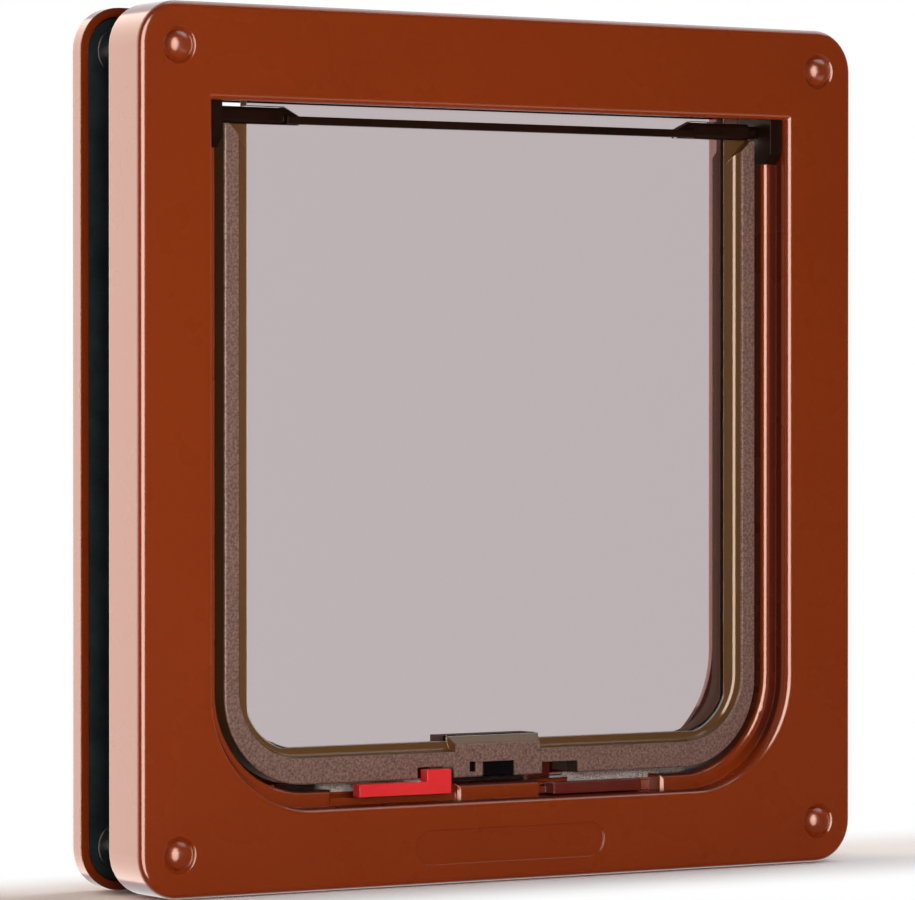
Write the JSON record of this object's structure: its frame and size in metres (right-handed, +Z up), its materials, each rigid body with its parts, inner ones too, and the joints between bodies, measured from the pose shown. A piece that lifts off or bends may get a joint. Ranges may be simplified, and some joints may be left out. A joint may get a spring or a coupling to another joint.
{
  "type": "cat flap",
  "caption": "Door-mounted cat flap: moulded frames clamp the door, a tinted flap swings both ways in the lined opening, and sliding locks at the threshold block it either way.",
  "frame": {"origin": "on the plane where the room frame's rear rim meets the door, at the middle of the frames", "axes": "+X to the right seen from the room, +Y from the room through the door to the outside, +Z up"},
  "size_m": [0.198, 0.0355, 0.202],
  "materials": {
    "brown_moulding": "glossy red-brown moulded plastic",
    "black_foam": "matt black closed-cell foam",
    "tinted_clear": "clear moulded plastic with a faint smoky tint",
    "magnet": "black bonded magnet",
    "black_moulding": "satin black-brown plastic",
    "red_moulding": "satin bright red plastic",
    "dark_moulding": "satin dark brown plastic",
    "grey_pile": "short grey brush pile",
    "screw_steel": "plain plated steel"
  },
  "bodies": {
    "frames": {"room_frame": "brown_moulding", "outer_frame": "brown_moulding", "frame_gasket": "black_foam", "screw_washers": "black_foam", "fixing_screws": "screw_steel", "hinge_bearing_left": "black_moulding", "hinge_bearing_right": "black_moulding", "threshold_magnet": "magnet", "threshold_brush_left": "grey_pile", "threshold_brush_middle": "grey_pile", "threshold_brush_right": "grey_pile", "screw_cap_top_left": "brown_moulding", "screw_cap_top_right": "brown_moulding", "screw_cap_bottom_left": "brown_moulding", "screw_cap_bottom_right": "brown_moulding"},
    "swinging_flap": {"flap": "tinted_clear", "flap_magnet": "magnet", "hinge_rail": "black_moulding"},
    "inward_slide": {"inward_lock": "red_moulding"},
    "outward_slide": {"outward_lock": "dark_moulding"}
  },
  "joints": [
    {"name": "flap_swing", "type": "hinge", "parent": "frames", "child": "swinging_flap", "pos_m": [0, -0.0044, 0.0762], "axis": [1, 0, 0], "range_deg": [-75, 75]},
    {"name": "inward_lock_slide", "type": "slide", "parent": "frames", "child": "inward_slide", "axis": [-1, 0, 0], "range_m": [0, 0.0056]},
    {"name": "outward_lock_slide", "type": "slide", "parent": "frames", "child": "outward_slide", "axis": [1, 0, 0], "range_m": [0, 0.0056]}
  ]
}
